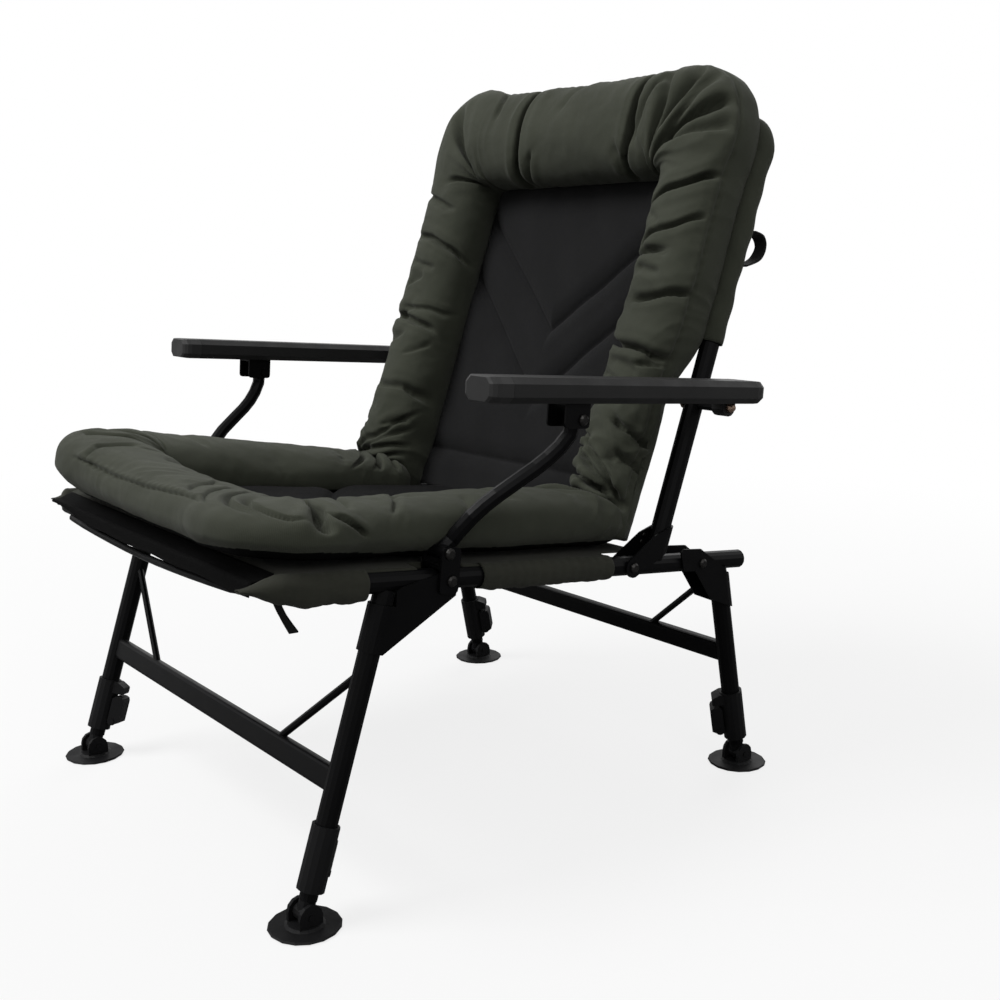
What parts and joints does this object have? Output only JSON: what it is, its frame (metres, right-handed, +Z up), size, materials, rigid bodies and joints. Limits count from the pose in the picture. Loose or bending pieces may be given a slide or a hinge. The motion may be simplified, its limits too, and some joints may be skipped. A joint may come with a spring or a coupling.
{
  "type": "folding carp fishing chair",
  "caption": "Low folding fishing chair with a tube frame, padded seat and back, folding armrests and adjustable legs with swivel feet.",
  "frame": {"origin": "on the floor, midway between the four foot pads", "axes": "+Z up, -Y the way the sitter faces, +X the sitter's left"},
  "size_m": [0.696, 0.7056, 0.8429],
  "materials": {
    "frame_paint": "satin powder coat",
    "bolt_steel": "zinc plated",
    "moulded_plastic": "fine grain",
    "cap_plastic": "satin",
    "border_fabric": "woven polyester",
    "panel_fabric": "brushed fleece",
    "sling_fabric": "coated woven polyester",
    "webbing": "woven tape"
  },
  "bodies": {
    "seat": {"seat_frame": "frame_paint", "seat_sling": "sling_fabric", "seat_border": "border_fabric", "seat_panel": "panel_fabric", "tie_strap": "webbing", "rail_plug_L": "moulded_plastic", "arm_saddle_L": "frame_paint", "support_bolt_L": "bolt_steel", "front_pivot_bolt_L": "bolt_steel", "rear_pivot_bolt_L": "bolt_steel", "recline_bolt_L": "bolt_steel", "rail_plug_R": "moulded_plastic", "arm_saddle_R": "frame_paint", "support_bolt_R": "bolt_steel", "front_pivot_bolt_R": "bolt_steel", "rear_pivot_bolt_R": "bolt_steel", "recline_bolt_R": "bolt_steel"},
    "back": {"back_frame": "frame_paint", "back_sling": "sling_fabric", "back_border": "border_fabric", "back_panel": "panel_fabric", "webbing_loop": "webbing", "recline_bracket_L": "frame_paint", "arm_shaft_L": "bolt_steel", "arm_spacer_L": "moulded_plastic", "recline_bracket_R": "frame_paint", "arm_shaft_R": "bolt_steel", "arm_spacer_R": "moulded_plastic"},
    "armrest_L": {"armrest_L": "moulded_plastic", "arm_cap_L": "cap_plastic", "arm_bracket_L": "frame_paint", "arm_bolt_L": "bolt_steel"},
    "armrest_R": {"armrest_R": "moulded_plastic", "arm_cap_R": "cap_plastic", "arm_bracket_R": "frame_paint", "arm_bolt_R": "bolt_steel"},
    "support_L": {"arm_support_L": "frame_paint"},
    "support_R": {"arm_support_R": "frame_paint"},
    "front_legs": {"front_leg_frame": "frame_paint", "front_collar_L": "moulded_plastic", "front_collar_R": "moulded_plastic"},
    "front_slide_L": {"front_extension_L": "frame_paint", "front_knuckle_L": "moulded_plastic"},
    "front_slide_R": {"front_extension_R": "frame_paint", "front_knuckle_R": "moulded_plastic"},
    "front_lever_L": {"front_lever_L": "moulded_plastic"},
    "front_lever_R": {"front_lever_R": "moulded_plastic"},
    "front_pad_L": {"front_foot_L": "moulded_plastic"},
    "front_pad_R": {"front_foot_R": "moulded_plastic"},
    "rear_legs": {"rear_leg_frame": "frame_paint", "rear_collar_L": "moulded_plastic", "rear_collar_R": "moulded_plastic"},
    "rear_slide_L": {"rear_extension_L": "frame_paint", "rear_knuckle_L": "moulded_plastic"},
    "rear_slide_R": {"rear_extension_R": "frame_paint", "rear_knuckle_R": "moulded_plastic"},
    "rear_lever_L": {"rear_lever_L": "moulded_plastic"},
    "rear_lever_R": {"rear_lever_R": "moulded_plastic"},
    "rear_pad_L": {"rear_foot_L": "moulded_plastic"},
    "rear_pad_R": {"rear_foot_R": "moulded_plastic"}
  },
  "joints": [
    {"name": "backrest_fold", "type": "hinge", "parent": "seat", "child": "back", "pos_m": [0, 0.10775, 0.28673], "axis": [1, 0, 0], "range_deg": [0, 90], "deforming": ["seat_border", "seat_panel", "back_border", "back_panel"]},
    {"name": "armrest_turn_L", "type": "hinge", "parent": "back", "child": "armrest_L", "pos_m": [0.323, 0.21174, 0.4609], "axis": [1, 0, 0], "range_deg": [-103, 0]},
    {"name": "armrest_turn_R", "type": "hinge", "parent": "back", "child": "armrest_R", "pos_m": [-0.323, 0.21174, 0.4609], "axis": [1, 0, 0], "range_deg": [-103, 0]},
    {"name": "support_turn_L", "type": "hinge", "parent": "seat", "child": "support_L", "pos_m": [0.265, -0.14797, 0.34246], "axis": [1, 0, 0], "range_deg": [0, 99.7]},
    {"name": "support_turn_R", "type": "hinge", "parent": "seat", "child": "support_R", "pos_m": [-0.265, -0.14797, 0.34246], "axis": [1, 0, 0], "range_deg": [0, 99.7]},
    {"name": "front_legs_fold", "type": "hinge", "parent": "seat", "child": "front_legs", "pos_m": [0, -0.146, 0.31488], "axis": [1, 0, 0], "range_deg": [0, 101]},
    {"name": "front_slide_L", "type": "slide", "parent": "front_legs", "child": "front_slide_L", "axis": [0, 0.309, 0.9511], "range_m": [-0.11, 0]},
    {"name": "front_slide_R", "type": "slide", "parent": "front_legs", "child": "front_slide_R", "axis": [0, 0.309, 0.9511], "range_m": [-0.11, 0]},
    {"name": "front_lever_turn_L", "type": "hinge", "parent": "front_legs", "child": "front_lever_L", "pos_m": [0.25227, -0.28777, 0.0443], "axis": [-0.7071, -0.6725, 0.2185], "range_deg": [0, 75]},
    {"name": "front_lever_turn_R", "type": "hinge", "parent": "front_legs", "child": "front_lever_R", "pos_m": [-0.25227, -0.28777, 0.0443], "axis": [-0.7071, 0.6725, -0.2185], "range_deg": [0, 75]},
    {"name": "front_foot_tilt_L", "type": "hinge", "parent": "front_slide_L", "child": "front_pad_L", "pos_m": [0.265, -0.311, 0.014], "axis": [1, 0, 0], "range_deg": [-18, 18]},
    {"name": "front_foot_tilt_R", "type": "hinge", "parent": "front_slide_R", "child": "front_pad_R", "pos_m": [-0.265, -0.311, 0.014], "axis": [1, 0, 0], "range_deg": [-18, 18]},
    {"name": "rear_legs_fold", "type": "hinge", "parent": "seat", "child": "rear_legs", "pos_m": [0, 0.22006, 0.27427], "axis": [1, 0, 0], "range_deg": [-104, 0]},
    {"name": "rear_slide_L", "type": "slide", "parent": "rear_legs", "child": "rear_slide_L", "axis": [0, 0.1994, -0.9799], "range_m": [0, 0.11]},
    {"name": "rear_slide_R", "type": "slide", "parent": "rear_legs", "child": "rear_slide_R", "axis": [0, 0.1994, -0.9799], "range_m": [0, 0.11]},
    {"name": "rear_lever_turn_L", "type": "hinge", "parent": "rear_legs", "child": "rear_lever_L", "pos_m": [0.25227, 0.29135, 0.04674], "axis": [0.7071, -0.6929, -0.141], "range_deg": [0, 75]},
    {"name": "rear_lever_turn_R", "type": "hinge", "parent": "rear_legs", "child": "rear_lever_R", "pos_m": [-0.25227, 0.31629, 0.05181], "axis": [-0.7071, 0.6929, 0.141], "range_deg": [0, 75]},
    {"name": "rear_foot_tilt_L", "type": "hinge", "parent": "rear_slide_L", "child": "rear_pad_L", "pos_m": [0.265, 0.311, 0.014], "axis": [1, 0, 0], "range_deg": [-18, 18]},
    {"name": "rear_foot_tilt_R", "type": "hinge", "parent": "rear_slide_R", "child": "rear_pad_R", "pos_m": [-0.265, 0.311, 0.014], "axis": [1, 0, 0], "range_deg": [-18, 18]}
  ],
  "couplings": [
    {"joint": "armrest_turn_L", "follows": "backrest_fold", "ratio": -1.1394},
    {"joint": "armrest_turn_R", "follows": "backrest_fold", "ratio": -1.1394},
    {"joint": "support_turn_L", "follows": "backrest_fold", "ratio": 1.1018},
    {"joint": "support_turn_R", "follows": "backrest_fold", "ratio": 1.1018}
  ]
}
